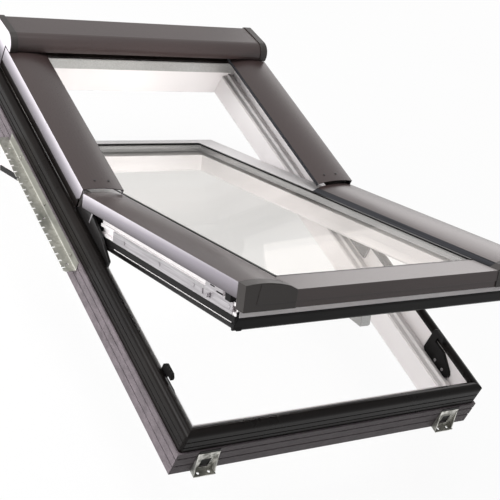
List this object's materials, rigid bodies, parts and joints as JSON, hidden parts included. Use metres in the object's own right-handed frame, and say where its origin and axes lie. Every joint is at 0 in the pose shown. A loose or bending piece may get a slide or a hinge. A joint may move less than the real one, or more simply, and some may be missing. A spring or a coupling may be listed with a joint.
{
  "type": "roof skylight",
  "caption": "Centre-pivot roof window: white framed sash turning on side pins in an insulated frame, with metal cladding, hood, locks, handle and roof fixing brackets.",
  "frame": {"origin": "in the roof plane, on the underside of the side brackets' flanges, under the middle of the frame", "axes": "+X across the window, +Y up the slope of the roof, +Z out of the roof"},
  "size_m": [0.796, 1.203, 0.6017],
  "materials": {
    "white_pvc": "smooth satin PVC",
    "insulation": "rough grey foam",
    "black_profile": "satin black profile",
    "grey_gasket": "grey rubber",
    "black_gasket": "black rubber",
    "cladding": "satin paint on aluminium",
    "cap_plastic": "fine grained plastic",
    "galvanised": "galvanised steel",
    "catch_plastic": "black moulded plastic",
    "steel": "zinc plated",
    "coated_steel": "black coated steel",
    "glass": "clear float glass",
    "spacer": "plain aluminium",
    "handle_metal": "satin aluminium",
    "bead_plastic": "satin plastic"
  },
  "bodies": {
    "frame": {"frame_sill": "white_pvc", "frame_right_jamb": "white_pvc", "frame_head": "white_pvc", "frame_left_jamb": "white_pvc", "insulation_sill": "insulation", "insulation_right": "insulation", "insulation_head": "insulation", "insulation_left": "insulation", "weather_seal": "black_profile", "rebate_gasket": "grey_gasket", "cover_left": "cladding", "cover_right": "cladding", "cover_carrier_left": "black_profile", "cover_carrier_right": "black_profile", "cover_screws": "coated_steel", "hood": "cladding", "hood_cap_left": "cap_plastic", "hood_cap_right": "cap_plastic", "side_bracket_left": "galvanised", "side_bracket_right": "galvanised", "bracket_screws": "galvanised", "sill_brackets": "galvanised", "catch_left": "catch_plastic", "catch_right": "catch_plastic", "catch_screws": "steel", "frame_hinge_left": "coated_steel", "frame_hinge_right": "coated_steel"},
    "sash": {"sash_bottom_rail": "white_pvc", "sash_right_stile": "white_pvc", "sash_top_rail": "white_pvc", "sash_left_stile": "white_pvc", "glass_outer": "glass", "glass_inner": "glass", "glass_spacer": "spacer", "sash_overlap_left": "white_pvc", "sash_overlap_right": "white_pvc", "sash_overlap_front": "white_pvc", "sash_gasket": "black_gasket", "clad_left": "cladding", "clad_right": "cladding", "clad_front": "cladding", "corner_cap_left": "cap_plastic", "corner_cap_right": "cap_plastic", "bead_left": "bead_plastic", "bead_right": "bead_plastic", "bead_top": "bead_plastic", "sash_hinge_left": "coated_steel", "sash_hinge_right": "coated_steel", "lock_plate_left": "steel", "lock_plate_right": "steel", "stop_left": "catch_plastic", "stop_right": "catch_plastic", "handle_rose": "handle_metal"},
    "handle": {"handle": "handle_metal"},
    "lock_left": {"lock_rod_left": "steel"},
    "lock_right": {"lock_rod_right": "steel"}
  },
  "joints": [
    {"name": "sash_pivot", "type": "hinge", "parent": "frame", "child": "sash", "pos_m": [0, 0, 0.121], "axis": [-1, 0, 0], "range_deg": [-26.92, 85]},
    {"name": "handle_turn", "type": "hinge", "parent": "sash", "child": "handle", "pos_m": [0, -0.48878, 0.27161], "axis": [0, 0.4527, 0.8916], "range_deg": [0, 90]},
    {"name": "lock_left_slide", "type": "slide", "parent": "sash", "child": "lock_left", "axis": [0, 0.8916, -0.4527], "range_m": [0, 0.0201]},
    {"name": "lock_right_slide", "type": "slide", "parent": "sash", "child": "lock_right", "axis": [0, 0.8916, -0.4527], "range_m": [0, 0.0201]}
  ],
  "couplings": [
    {"joint": "lock_left_slide", "follows": "handle_turn", "m_per_rad": 0.012732},
    {"joint": "lock_right_slide", "follows": "handle_turn", "m_per_rad": 0.012732}
  ]
}
